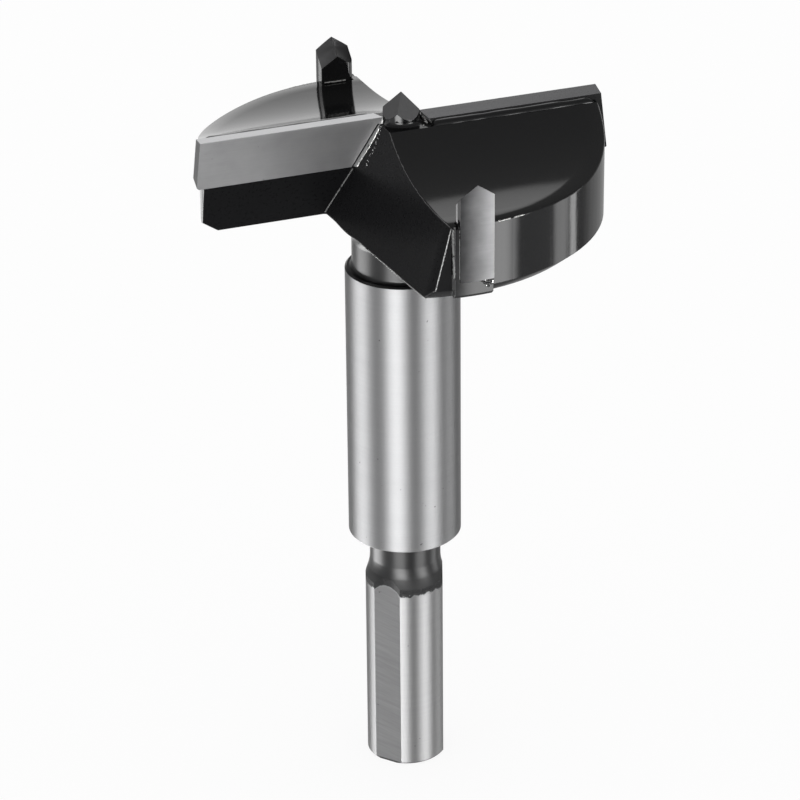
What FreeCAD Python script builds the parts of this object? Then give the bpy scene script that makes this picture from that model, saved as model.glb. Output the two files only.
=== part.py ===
"""A 50 mm boring bit with brazed cutting blades and scoring spurs.

The bit stands on the end of its shank. The origin is the centre of that end, +Z runs up the
shank to the centre point, and the cutting edges lie along X. It turns counter-clockwise seen
from above, so the blade on -X looks towards -Y and the one on +X towards +Y.
Lengths are in millimetres and angles in degrees.
"""
import os

import FreeCAD
import Part
import Sketcher
from FreeCAD import Placement, Rotation, Vector

# Driving sizes. Every feature reads them from the sheet.
SIZES = {
    # shank, from its end upwards
    "chuck_radius": 5.0,
    "chuck_length": 25.4,
    "end_chamfer": 0.2,
    "flat_distance": 4.65,
    "flat_length": 26.8,
    "flat_turn": 130.0,
    "flare_length": 1.9,
    "flare_blend": 5.0,
    "lower_neck_radius": 4.425,
    "lower_neck_length": 4.4,
    "shank_radius": 7.0,
    "shank_length": 36.0,
    "shank_chamfer": 0.25,
    "upper_neck_radius": 6.15,
    "upper_neck_length": 5.6,
    "neck_blend": 0.4,
    "hub_blend": 2.0,
    # head
    "cutting_radius": 25.0,
    "body_clearance": 0.9,
    "hub_height": 13.0,
    "rim_drop": 3.55,
    "rim_chamfer": 1.95,
    "rim_bevel": 1.6,
    "wing_round": 0.2,
    "land_end": 3.2,
    "dish_margin": 4.0,
    # chip gullets
    "rake_angle": 22.0,
    "edge_offset": 0.29,
    "web_offset": 2.35,
    "web_slope": 22.0,
    "wall_offset": 1.6,
    "wall_slope": 11.0,
    # cutting blades
    "blade_rise": 0.9,
    "blade_width": 7.6,
    "blade_thickness": 2.0,
    "blade_relief": 8.0,
    "blade_clearance": 5.0,
    "blade_taper": 1.3,
    "blade_corner": 0.35,
    # scoring spurs
    "spur_width": 4.15,
    "spur_thickness": 2.25,
    "spur_seat": 2.8,
    "spur_lead": 0.75,
    "spur_side_slope": 33.0,
    "spur_back_slope": 39.0,
    "spur_corner": 0.7,
    # steel lug that carries each spur
    "lug_clearance": 0.15,
    "lug_foot": 0.75,
    "lug_chamfer": 0.4,
    "lug_back": 6.2,
    "lug_front": 4.6,
    # centre point
    "point_radius": 2.2,
    "point_lead": 2.8,
    "point_root": 0.5,
    "point_slope": 53.0,
    "point_turn": 13.3,
}

doc = FreeCAD.newDocument("boring_bit")
sheet = doc.addObject("Spreadsheet::Sheet", "sizes")
for row, (name, value) in enumerate(SIZES.items(), start=1):
    sheet.set(f"A{row}", name.replace("_", " "))
    sheet.set(f"B{row}", str(value))
    sheet.setAlias(f"B{row}", name)
doc.recompute()

# Heights along the axis, each from the one below it.
FLARE = "sizes.chuck_length"
NECK = f"({FLARE} + sizes.flare_length)"
SHANK = f"({NECK} + sizes.lower_neck_length)"
SHANK_TOP = f"({SHANK} + sizes.shank_length)"
HEAD = f"({SHANK_TOP} + sizes.upper_neck_length)"
HUB_TOP = f"({HEAD} + sizes.hub_height)"
RIM_TOP = f"({HUB_TOP} - sizes.rim_drop)"
EDGE = f"({HUB_TOP} + sizes.blade_rise)"
TIP = f"({EDGE} + sizes.point_lead)"
SPUR_SEAT = f"({HEAD} + sizes.spur_seat)"
SPUR_TIP = f"({EDGE} + sizes.spur_lead)"
OUTSIDE = "(sizes.cutting_radius + 7)"
DISH_END = "(sizes.dish_margin - sizes.cutting_radius)"

# Radii of the steel behind the cutting circle.
BODY_RADIUS = "(sizes.cutting_radius - sizes.body_clearance)"
LUG_RADIUS = "(sizes.cutting_radius - sizes.lug_clearance)"


def size(name):
    """The number that the sheet holds under a name."""
    return float(sheet.get(name))


def new_body(name):
    body = doc.addObject("PartDesign::Body", name)
    body.Label = name
    return body


def origin_feature(body, role):
    return next(item for item in body.Origin.OriginFeatures if item.Role == role)


def new_sketch(body, name, plane, offset=None, turn=None):
    """A sketch on one of the body's origin planes, moved and turned within that plane's frame."""
    sketch = body.newObject("Sketcher::SketchObject", name)
    sketch.AttachmentSupport = (origin_feature(body, plane), [""])
    sketch.MapMode = "FlatFace"
    axis = turn[0] if turn else Vector(0, 0, 1)
    sketch.AttachmentOffset = Placement(Vector(0, 0, 0), Rotation(axis, 1 if turn else 0))
    for letter, expression in (offset or {}).items():
        sketch.setExpression(f".AttachmentOffset.Base.{letter}", expression)
    if turn:
        sketch.setExpression(".AttachmentOffset.Rotation.Angle", turn[1])
    return sketch


def pin_point(sketch, geometry, end, x, y):
    """Holds one end of a line or arc at the two given expressions."""
    spot = sketch.getPoint(geometry, end)
    for kind, value, expression in (("DistanceX", spot.x, x), ("DistanceY", spot.y, y)):
        index = sketch.addConstraint(Sketcher.Constraint(kind, -1, 1, geometry, end, value))
        sketch.setExpression(f"Constraints[{index}]", expression)


def polygon(sketch, corners):
    """A closed polygon whose corners are pairs of expressions."""
    count = len(corners)
    circle = Part.makeCircle(20.0)
    spots = circle.discretize(Number=count + 1)[:count]
    for index in range(count):
        sketch.addGeometry(Part.LineSegment(spots[index], spots[(index + 1) % count]))
    for index in range(count):
        sketch.addConstraint(Sketcher.Constraint("Coincident", index, 2, (index + 1) % count, 1))
    for index, (x, y) in enumerate(corners):
        pin_point(sketch, index, 1, x, y)
    return sketch


def cut(body, name, sketch, **settings):
    """A pocket through everything on both sides, unless the settings say otherwise."""
    pocket = body.newObject("PartDesign::Pocket", name)
    pocket.Profile = sketch
    pocket.Type = "ThroughAll"
    pocket.Midplane = True
    for key, value in settings.items():
        setattr(pocket, key, value)
    return pocket


def repeat(body, name, features, count):
    """The same features again around the axis of the bit."""
    pattern = body.newObject("PartDesign::PolarPattern", name)
    pattern.Originals = features
    pattern.Axis = (origin_feature(body, "Z_Axis"), [""])
    pattern.Angle = 360
    pattern.Occurrences = count
    body.Tip = pattern
    doc.recompute()
    return pattern


def ring_edges(feature, radius, height):
    """The names of the circular edges of a feature with a given radius and height."""
    names = []
    for index, edge in enumerate(feature.Shape.Edges, start=1):
        curve = edge.Curve
        if isinstance(curve, Part.Circle) and abs(curve.Radius - radius) < 0.001:
            if abs(curve.Center.z - height) < 0.001:
                names.append(f"Edge{index}")
    return names


def round_edges(body, name, base, edges, radius):
    fillet = body.newObject("PartDesign::Fillet", name)
    fillet.Base = (base, edges)
    fillet.setExpression("Radius", radius)
    body.Tip = fillet
    doc.recompute()
    return fillet


# Body: one steel piece from the shank's end to the centre point.
body = new_body("body")

# Turned blank, half a section in the XZ plane.
profile = polygon(
    new_sketch(body, "blank_section", "XZ_Plane"),
    [
        ("0", "0"),
        ("sizes.chuck_radius - sizes.end_chamfer", "0"),
        ("sizes.chuck_radius", "sizes.end_chamfer"),
        ("sizes.chuck_radius", FLARE),
        ("sizes.lower_neck_radius", NECK),
        ("sizes.lower_neck_radius", SHANK),
        ("sizes.shank_radius - sizes.shank_chamfer", SHANK),
        ("sizes.shank_radius", f"{SHANK} + sizes.shank_chamfer"),
        ("sizes.shank_radius", f"{SHANK_TOP} - sizes.shank_chamfer"),
        ("sizes.shank_radius - sizes.shank_chamfer", SHANK_TOP),
        ("sizes.upper_neck_radius", SHANK_TOP),
        ("sizes.upper_neck_radius", HEAD),
        (f"{BODY_RADIUS} - sizes.rim_chamfer", HEAD),
        (BODY_RADIUS, f"{HEAD} + sizes.rim_bevel"),
        (BODY_RADIUS, HUB_TOP),
        ("sizes.point_radius", HUB_TOP),
        ("sizes.point_radius", f"{TIP} + 1"),
        ("0", f"{TIP} + 1"),
    ],
)
blank = body.newObject("PartDesign::Revolution", "blank")
blank.Profile = profile
blank.ReferenceAxis = (profile, ["V_Axis"])
blank.Angle = 360
doc.recompute()

# Fillets at the shank's flare, at both ends of the upper neck and round the centre post.
neck_height = size("chuck_length") + size("flare_length")
shank_top_height = neck_height + size("lower_neck_length") + size("shank_length")
head_height = shank_top_height + size("upper_neck_length")
hub_height = head_height + size("hub_height")
step = blank
for name, radius, height, blend in (
    ("flare_fillet", "lower_neck_radius", neck_height, "flare_blend"),
    ("neck_fillet", "upper_neck_radius", shank_top_height, "neck_blend"),
    ("hub_fillet", "upper_neck_radius", head_height, "hub_blend"),
    ("post_fillet", "point_radius", hub_height, "point_root"),
):
    edges = ring_edges(step, size(radius), height)
    step = round_edges(body, name, step, edges, f"sizes.{blend}")

# Chip gullets. The leading face leans back by the rake angle and the web face leans the other
# way, steeper at the centre than at the rim, so each gullet is a loft between two levels.
def gullet_section(name, level):
    drop = f"({EDGE} - {level})"
    corner_x = f"-(sizes.web_offset + tan(sizes.web_slope) * {drop})"
    corner_y = f"-sizes.edge_offset + tan(sizes.rake_angle) * {drop}"
    wall_x = f"-(sizes.wall_offset + tan(sizes.wall_slope) * {drop})"
    return polygon(
        new_sketch(body, name, "XY_Plane", offset={"z": level}),
        [
            (corner_x, corner_y),
            (f"-{OUTSIDE}", corner_y),
            (f"-{OUTSIDE}", f"-{OUTSIDE}"),
            (wall_x, f"-{OUTSIDE}"),
        ],
    )


gullet = body.newObject("PartDesign::SubtractiveLoft", "gullet")
gullet.Profile = gullet_section("gullet_top", EDGE)
gullet.Sections = [gullet_section("gullet_foot", f"({HEAD} - 1.5)")]
gullet.Ruled = True
body.Tip = gullet
doc.recompute()
repeat(body, "gullets", [gullet], 2)

# Top of each wing: a narrow land behind the blade, then a dish that flattens to the rim.
dish_section = new_sketch(body, "dish_section", "YZ_Plane")
land, low, high = -size("land_end"), size("dish_margin") - size("cutting_radius"), hub_height
rim = hub_height - size("rim_drop")
run, fall = land - low, high - rim
dish_radius = (run * run + fall * fall) / (2 * fall)
centre = Vector(low, rim + dish_radius, 0)
circle = Part.Circle(centre, Vector(0, 0, 1), dish_radius)
top, far = high + 6, -size("cutting_radius") - 7
dish_section.addGeometry(
    Part.ArcOfCircle(circle, circle.parameter(Vector(low, rim, 0)), circle.parameter(Vector(land, high, 0)))
)
path = [Vector(land, high, 0), Vector(land, top, 0), Vector(far, top, 0), Vector(far, rim, 0), Vector(low, rim, 0)]
for start, end in zip(path, path[1:]):
    dish_section.addGeometry(Part.LineSegment(start, end))
for index in range(5):
    dish_section.addConstraint(Sketcher.Constraint("Coincident", index, 2, (index + 1) % 5, 1))
pin_point(dish_section, 1, 1, "-sizes.land_end", HUB_TOP)
pin_point(dish_section, 2, 1, "-sizes.land_end", f"{HUB_TOP} + 6")
pin_point(dish_section, 3, 1, f"-{OUTSIDE}", f"{HUB_TOP} + 6")
pin_point(dish_section, 4, 1, f"-{OUTSIDE}", RIM_TOP)
pin_point(dish_section, 0, 1, DISH_END, RIM_TOP)
centre_line = dish_section.addConstraint(Sketcher.Constraint("DistanceX", -1, 1, 0, 3, low))
dish_section.setExpression(f"Constraints[{centre_line}]", DISH_END)
dish = cut(body, "dish", dish_section)
doc.recompute()
repeat(body, "dishes", [dish], 2)

# Rounded borders of each wing: the top and the ends of the rim, and every border of the gullet
# faces but the one along the land.
def is_gullet_face(face):
    flat_or_ruled = not isinstance(face.Surface, (Part.Cylinder, Part.Cone, Part.Toroid))
    return flat_or_ruled and face.BoundBox.ZLength > 0.8 * (size("hub_height") - size("rim_drop"))


def is_rim_edge(edge):
    """Whether an edge lies on the rim's cylinder and reaches above the bevel at its foot."""
    radius, bevel_top = size("cutting_radius") - size("body_clearance"), head_height + size("rim_bevel")
    spots = edge.discretize(Number=5)
    on_cylinder = all(abs(spot.x**2 + spot.y**2 - radius**2) < 0.01 for spot in spots)
    return on_cylinder and edge.BoundBox.ZMax > bevel_top + 0.01


wings = body.Tip
borders = [edge for face in wings.Shape.Faces if is_gullet_face(face) for edge in face.Edges]
borders = [edge for edge in borders if edge.BoundBox.ZMin < hub_height - 0.01]
border_names = [
    f"Edge{index}"
    for index, edge in enumerate(wings.Shape.Edges, start=1)
    if is_rim_edge(edge) or any(edge.isSame(border) for border in borders)
]
round_edges(body, "wing_rounding", wings, border_names, "sizes.wing_round")

# Lug round the foot and the trailing side of each spur, a short turned sector on the rim.
lug_section = polygon(
    new_sketch(
        body,
        "lug_section",
        "XZ_Plane",
        turn=(Vector(0, 1, 0), "-90 - sizes.lug_back + (sizes.lug_back + sizes.lug_front) / 2"),
    ),
    [
        (f"{BODY_RADIUS} - 3", f"{HEAD} + sizes.lug_foot"),
        (f"{LUG_RADIUS} - sizes.lug_chamfer", f"{HEAD} + sizes.lug_foot"),
        (LUG_RADIUS, f"{HEAD} + sizes.lug_foot + sizes.lug_chamfer"),
        (LUG_RADIUS, RIM_TOP),
        (f"{BODY_RADIUS} - 3", RIM_TOP),
    ],
)
lug = body.newObject("PartDesign::Revolution", "lug")
lug.Profile = lug_section
lug.ReferenceAxis = (lug_section, ["V_Axis"])
lug.Midplane = True
lug.setExpression("Angle", "sizes.lug_back + sizes.lug_front")
body.Tip = lug
doc.recompute()
repeat(body, "lugs", [lug], 2)


def blade_outline(owner, name, outer_top, outer_foot, corner):
    """A blade's outline in its own leaning front plane, seen from in front of it."""
    return polygon(
        new_sketch(
            owner,
            name,
            "XY_Plane",
            offset={"y": "-sizes.edge_offset", "z": EDGE},
            turn=(Vector(1, 0, 0), "90 + sizes.rake_angle"),
        ),
        [
            (f"-{outer_top}", "0"),
            (f"-{outer_foot}", f"-sizes.blade_width + {corner}"),
            (f"-({outer_foot} - {corner})", "-sizes.blade_width"),
            ("-(sizes.web_offset + tan(sizes.web_slope) * cos(sizes.rake_angle) * sizes.blade_width)",
             "-sizes.blade_width"),
            ("-sizes.web_offset", "0"),
        ],
    )


# Seats for the blades, open to the front, to the top and at the rim.
seat_outline = blade_outline(body, "blade_seat_outline", OUTSIDE, OUTSIDE, "sizes.blade_corner")
seat = cut(body, "blade_seat", seat_outline, Type="Length", Midplane=False)
seat.setExpression("Length", "sizes.blade_thickness")
doc.recompute()
repeat(body, "blade_seats", [seat], 2)


def spur_outline(owner, name, outer):
    """The plan of a spur, or of its slot, on the spur's seat."""
    sketch = new_sketch(owner, name, "XY_Plane", offset={"z": SPUR_SEAT})
    inner = "-(sizes.cutting_radius - sizes.spur_thickness)"
    return polygon(
        sketch,
        [
            ("-sizes.spur_width / 2", inner),
            ("-sizes.spur_width / 2", outer),
            ("sizes.spur_width / 2", outer),
            ("sizes.spur_width / 2", inner),
        ],
    )


# Slots for the spurs, open at the rim and at the top.
slot = cut(body, "spur_slot", spur_outline(body, "spur_slot_outline", f"-{OUTSIDE}"), Midplane=False)
slot.Reversed = True
doc.recompute()
repeat(body, "spur_slots", [slot], 2)

# Centre point: four facets ground on the post.
facet_outline = polygon(
    new_sketch(body, "facet_outline", "XZ_Plane", turn=(Vector(0, 1, 0), "sizes.point_turn")),
    [
        ("0", TIP),
        ("1.12 * sizes.point_radius", f"{TIP} - 1.12 * sizes.point_radius * tan(sizes.point_slope)"),
        ("1.12 * sizes.point_radius", f"{TIP} + 3"),
        ("0", f"{TIP} + 3"),
    ],
)
facet = cut(body, "facet", facet_outline, Type="Length")
facet.setExpression("Length", "4 * sizes.point_radius")
doc.recompute()
repeat(body, "facets", [facet], 4)

# Three flats on the chuck shank.
flat_outline = polygon(
    new_sketch(body, "flat_outline", "XY_Plane", turn=(Vector(0, 0, 1), "sizes.flat_turn")),
    [
        ("-2 * sizes.chuck_radius", "sizes.flat_distance"),
        ("2 * sizes.chuck_radius", "sizes.flat_distance"),
        ("2 * sizes.chuck_radius", "2 * sizes.chuck_radius"),
        ("-2 * sizes.chuck_radius", "2 * sizes.chuck_radius"),
    ],
)
flat = cut(body, "flat", flat_outline, Type="Length", Midplane=False)
flat.Reversed = True
flat.setExpression("Length", "sizes.flat_length")
doc.recompute()
repeat(body, "flats", [flat], 3)


def make_blade(name, turn):
    """A carbide plate with a relieved top, a cleared end and a cropped lower corner."""
    blade = new_body(name)
    taper = "(sizes.cutting_radius - tan(sizes.blade_taper) * sizes.blade_width)"
    outline = blade_outline(blade, f"{name}_outline", "sizes.cutting_radius", taper, "sizes.blade_corner")
    plate = blade.newObject("PartDesign::Pad", f"{name}_plate")
    plate.Profile = outline
    plate.Reversed = True
    plate.setExpression("Length", "sizes.blade_thickness")
    doc.recompute()

    relief_outline = polygon(
        new_sketch(blade, f"{name}_relief_outline", "YZ_Plane"),
        [
            ("-sizes.edge_offset", EDGE),
            (
                "-sizes.edge_offset + 2 * sizes.blade_thickness",
                f"{EDGE} - 2 * sizes.blade_thickness * tan(sizes.blade_relief)",
            ),
            ("-sizes.edge_offset + 2 * sizes.blade_thickness", f"{EDGE} + sizes.blade_thickness"),
            ("-sizes.edge_offset", f"{EDGE} + sizes.blade_thickness"),
        ],
    )
    cut(blade, f"{name}_relief", relief_outline)
    doc.recompute()

    clearance_outline = polygon(
        new_sketch(blade, f"{name}_clearance_outline", "XY_Plane", offset={"z": EDGE}),
        [
            ("-sizes.cutting_radius", "-sizes.edge_offset"),
            (
                "-sizes.cutting_radius + 8 * tan(sizes.blade_clearance)",
                "-sizes.edge_offset + 8",
            ),
            (f"-{OUTSIDE}", "-sizes.edge_offset + 8"),
            (f"-{OUTSIDE}", "-sizes.edge_offset"),
        ],
    )
    cut(blade, f"{name}_clearance", clearance_outline)
    doc.recompute()
    blade.Placement = Placement(Vector(0, 0, 0), Rotation(Vector(0, 0, 1), turn))
    return blade


def make_spur(name, turn):
    """A carbide bar with a round-ground outer face, one round inner corner and a two-facet roof."""
    spur = new_body(name)
    outline = spur_outline(spur, f"{name}_outline", "-(sizes.cutting_radius + 1)")
    bar = spur.newObject("PartDesign::Pad", f"{name}_bar")
    bar.Profile = outline
    bar.setExpression("Length", f"{SPUR_TIP} - {SPUR_SEAT} + 1")
    doc.recompute()

    grind_outline = new_sketch(spur, f"{name}_grind_outline", "XY_Plane", offset={"z": SPUR_SEAT})
    for index, radius in enumerate(("sizes.cutting_radius", "(sizes.cutting_radius + 6)")):
        grind_outline.addGeometry(Part.Circle(Vector(0, 0, 0), Vector(0, 0, 1), 25.0 + 6 * index))
        grind_outline.addConstraint(Sketcher.Constraint("Coincident", index, 3, -1, 1))
        row = grind_outline.addConstraint(Sketcher.Constraint("Radius", index, 25.0 + 6 * index))
        grind_outline.setExpression(f"Constraints[{row}]", radius)
    cut(spur, f"{name}_grind", grind_outline)
    doc.recompute()

    bar_edges = spur.Tip.Shape.Edges
    inner, side = -(size("cutting_radius") - size("spur_thickness")), -size("spur_width") / 2
    trailing = [
        f"Edge{index}"
        for index, edge in enumerate(bar_edges, start=1)
        if abs(edge.BoundBox.XMax - side) < 0.001
        and abs(edge.BoundBox.YMin - inner) < 0.001
        and edge.BoundBox.ZLength > 1
    ]
    round_edges(spur, f"{name}_corner", spur.Tip, trailing, "sizes.spur_corner")

    roof_outline = polygon(
        new_sketch(
            spur,
            f"{name}_roof_outline",
            "XY_Plane",
            offset={"y": "-sizes.cutting_radius", "z": SPUR_TIP},
            turn=(Vector(1, 0, 0), "90 - sizes.spur_back_slope"),
        ),
        [
            ("0", "0"),
            ("-sizes.spur_width", "-sizes.spur_width * tan(sizes.spur_side_slope) * cos(sizes.spur_back_slope)"),
            ("-sizes.spur_width", "sizes.spur_width"),
            ("sizes.spur_width", "sizes.spur_width"),
            ("sizes.spur_width", "-sizes.spur_width * tan(sizes.spur_side_slope) * cos(sizes.spur_back_slope)"),
        ],
    )
    cut(spur, f"{name}_roof", roof_outline)
    doc.recompute()
    spur.Placement = Placement(Vector(0, 0, 0), Rotation(Vector(0, 0, 1), turn))
    return spur


parts = [
    body,
    make_blade("blade_left", 0),
    make_blade("blade_right", 180),
    make_spur("spur_front", 0),
    make_spur("spur_back", 180),
]
doc.recompute()

# Every object is up to date and every shape is valid before anything is written.
for item in doc.Objects:
    if "Invalid" in item.State or "Error" in item.State:
        raise RuntimeError(f"{item.Name} failed: {item.State}")
for part in parts:
    if part.Shape.isNull() or not part.Shape.isValid() or len(part.Shape.Solids) != 1:
        raise RuntimeError(f"{part.Label} has no single valid solid")

os.makedirs("parts", exist_ok=True)
for part in parts:
    part.Shape.exportStep(f"parts/{part.Label}.step")
    box = part.Shape.BoundBox
    print(f"{part.Label}: {part.Shape.Volume:.1f} mm3, z {box.ZMin:.2f} to {box.ZMax:.2f}")
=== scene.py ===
# %% [markdown]
# # A 50 mm boring bit, dressed for its portrait
# The bit is a tool for sinking flat-bottomed holes. One turned steel body carries a thin chuck
# shank, a thick collar shank and a wide two-winged head. Two carbide blades shave the bottom of
# the hole, and two carbide spurs score its edge first.
# The solids already have every main form, so this lesson loads them as they are, gives each
# surface the finish it left the factory with, and adds what ran by hand: the solder that holds
# the carbide and the enamel that gathered beside it.

# %% Load the solids
import math
import random

import bmesh
import bpy
from mathutils import Matrix, Vector, noise


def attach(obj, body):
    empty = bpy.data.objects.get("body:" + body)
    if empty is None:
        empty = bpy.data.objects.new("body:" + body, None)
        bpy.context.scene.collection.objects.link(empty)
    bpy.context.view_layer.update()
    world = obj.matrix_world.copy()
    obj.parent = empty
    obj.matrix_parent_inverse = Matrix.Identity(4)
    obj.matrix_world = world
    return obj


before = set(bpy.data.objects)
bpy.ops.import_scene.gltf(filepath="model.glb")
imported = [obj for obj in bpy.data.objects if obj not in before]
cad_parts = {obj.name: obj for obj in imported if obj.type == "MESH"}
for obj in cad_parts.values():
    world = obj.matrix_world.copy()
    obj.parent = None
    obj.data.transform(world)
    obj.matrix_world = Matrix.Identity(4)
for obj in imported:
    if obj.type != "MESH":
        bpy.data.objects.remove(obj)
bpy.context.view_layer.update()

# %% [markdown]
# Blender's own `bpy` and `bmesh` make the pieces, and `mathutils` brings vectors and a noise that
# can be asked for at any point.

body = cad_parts["body"]
blades = [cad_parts[name] for name in ("blade_left", "blade_right")]
spurs = [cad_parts[name] for name in ("spur_front", "spur_back")]
print("solids:", ", ".join(sorted(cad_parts)))

# %% [markdown]
# ## The heights that matter
# Finishes change at a few radii and heights on the bit. Naming them once keeps the later cells
# readable. Blender works in metres, so a small helper turns millimetres into metres.

# %% Radii and heights in metres
def mm(*values):
    scaled = [0.001 * value for value in values]
    return scaled[0] if len(scaled) == 1 else Vector(scaled)


FLAT_DISTANCE = mm(4.65)
CHUCK_RADIUS = mm(5.0)
SHANK_RADIUS = mm(7.0)
GULLET_REACH = mm(23.6)
BODY_RADIUS = mm(24.1)
CUTTING_CIRCLE = mm(24.97)

CHUCK_TOP = mm(25.4)
COAT_END = mm(27.0)
SHANK_FOOT = mm(31.7)
SHANK_TOP = mm(67.7)
HEAD_FOOT = mm(73.3)
RIM_FOOT = mm(82.3)
LAND = mm(86.3)
POST_TOP = mm(86.9)
print("collar shank from", SHANK_FOOT, "to", SHANK_TOP, "m")

# %% [markdown]
# ## Shared effects
# Several finishes need the same small effects: the fine lines that a grinding wheel leaves, the
# slow ripple of a sprayed and baked enamel, and grain that is finer than either. Each one is a
# node group, built once, with named inputs, so a material only places it and gives it values.
# A few helpers come first. One starts a group with its sockets. The others add a node, feed it
# numbers or links alike, and hand back the output that the next node wants.

# %% Helpers for node trees
def start_group(name, inputs, outputs):
    group = bpy.data.node_groups.new(name, "ShaderNodeTree")
    for label, kind, value in inputs:
        kind = f"NodeSocket{kind}"
        socket = group.interface.new_socket(name=label, in_out="INPUT", socket_type=kind)
        if value is not None:
            socket.default_value = value
    for label, kind in outputs:
        kind = f"NodeSocket{kind}"
        group.interface.new_socket(name=label, in_out="OUTPUT", socket_type=kind)
    entry = group.nodes.new("NodeGroupInput")
    leave = group.nodes.new("NodeGroupOutput")
    return group, entry.outputs, leave.inputs


def node(tree, kind, **settings):
    made = tree.nodes.new(f"ShaderNode{kind}")
    for key, value in settings.items():
        setattr(made, key, value)
    return made


def feed(tree, socket, value):
    if isinstance(value, bpy.types.NodeSocket):
        tree.links.new(value, socket)
    else:
        socket.default_value = value


def math_node(tree, operation, *values, clamp=False):
    made = node(tree, "Math", operation=operation, use_clamp=clamp)
    for socket, value in zip(made.inputs, values):
        feed(tree, socket, value)
    return made.outputs[0]


def split_axes(tree, position):
    made = node(tree, "SeparateXYZ")
    feed(tree, made.inputs[0], position)
    return made.outputs


def noise_texture(tree, position, scale, detail=2.0, roughness=0.5):
    made = node(tree, "TexNoise")
    feed(tree, made.inputs["Vector"], position)
    feed(tree, made.inputs["Scale"], scale)
    feed(tree, made.inputs["Detail"], detail)
    feed(tree, made.inputs["Roughness"], roughness)
    return made.outputs["Fac"]


# %% [markdown]
# Grinding leaves hair-thin lines along the way the wheel moved. A photographed scratch would need
# unwrapping and would show where it repeats. A noise that is squeezed hard in one direction and
# left long in the other gives such lines without either, and a second, coarser one makes bundles
# of them, because a real wheel never wears evenly.

# %% Grinding lines
def build_grinding_lines():
    group, given, result = start_group(
        "grinding_lines",
        [
            ("Position", "Vector", None),
            ("Stretch", "Vector", (40.0, 40.0, 9000.0)),
            ("Contrast", "Float", 0.5),
        ],
        [("Lines", "Float"), ("Bundles", "Float")],
    )
    squeeze = node(group, "VectorMath", operation="MULTIPLY")
    feed(group, squeeze.inputs[0], given["Position"])
    feed(group, squeeze.inputs[1], given["Stretch"])
    fine = noise_texture(group, squeeze.outputs[0], 1.0, 3.0, 0.65)
    centred = math_node(group, "SUBTRACT", fine, 0.5)
    scaled = math_node(group, "MULTIPLY", centred, given["Contrast"])
    feed(group, result["Lines"], math_node(group, "ADD", scaled, 0.5, clamp=True))
    feed(group, result["Bundles"], noise_texture(group, squeeze.outputs[0], 0.17))
    return group


GRINDING_LINES = build_grinding_lines()
print("group:", GRINDING_LINES.name, [item.name for item in GRINDING_LINES.interface.items_tree])

# %% [markdown]
# Sprayed enamel dries with a slow swell, which bends the reflections of windows and lamps a
# little. It is only hundredths of a millimetre high, so a height for a Bump node is enough and
# the mesh can stay as it is. Two soft noises of different size make that height.

# %% Enamel swell
def build_enamel_swell():
    group, given, result = start_group(
        "enamel_swell",
        [
            ("Position", "Vector", None),
            ("Swell Size", "Float", 260.0),
            ("Grain Size", "Float", 2600.0),
        ],
        [("Height", "Float"), ("Mottle", "Float")],
    )
    swell = noise_texture(group, given["Position"], given["Swell Size"], 1.0)
    grain = noise_texture(group, given["Position"], given["Grain Size"])
    small = math_node(group, "MULTIPLY", grain, 0.08)
    feed(group, result["Height"], math_node(group, "ADD", swell, small))
    feed(group, result["Mottle"], grain)
    return group


ENAMEL_SWELL = build_enamel_swell()
print("group:", ENAMEL_SWELL.name, [item.name for item in ENAMEL_SWELL.interface.items_tree])

# %% [markdown]
# Ground metal is never clean: it has a fine grain that runs no special way, and here and there a
# tiny pit that the wheel didn't reach. A small noise gives the grain. A second one, of which only
# the highest peaks are kept, gives the pits.

# %% Grain and pits
def build_metal_grain():
    group, given, result = start_group(
        "metal_grain",
        [
            ("Position", "Vector", None),
            ("Grain Size", "Float", 4200.0),
            ("Pit Size", "Float", 1500.0),
            ("Clean Share", "Float", 0.77),
        ],
        [("Grain", "Float"), ("Pits", "Float")],
    )
    grain = noise_texture(group, given["Position"], given["Grain Size"], 3.0, 0.6)
    feed(group, result["Grain"], grain)
    spots = noise_texture(group, given["Position"], given["Pit Size"], 1.0)
    peaks = math_node(group, "SUBTRACT", spots, given["Clean Share"])
    feed(group, result["Pits"], math_node(group, "MULTIPLY", peaks, 25.0, clamp=True))
    return group


METAL_GRAIN = build_metal_grain()
print("group:", METAL_GRAIN.name, [item.name for item in METAL_GRAIN.interface.items_tree])

# %% [markdown]
# The enamel ends on the chuck shank in a ragged line. The shank was masked with a round cap, so
# the enamel runs lowest on the round sides and rises in an arch over each flat, where the cap
# stood off. A point's distance from the axis says how far out it lies on a flat, and that gives
# the arch. A noise makes the line wander. The lip above the line bulges like a drop, so its height
# grows slowly with the way up, and stops growing where the lip ends.

# %% Ragged edge of the enamel
LIP_REACH = mm(1.6)
LIP_SLOPE = 0.2


def squared_radius(tree, axes):
    squares = [math_node(tree, "MULTIPLY", axes[name], axes[name]) for name in ("X", "Y")]
    return math_node(tree, "ADD", *squares)


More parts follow.
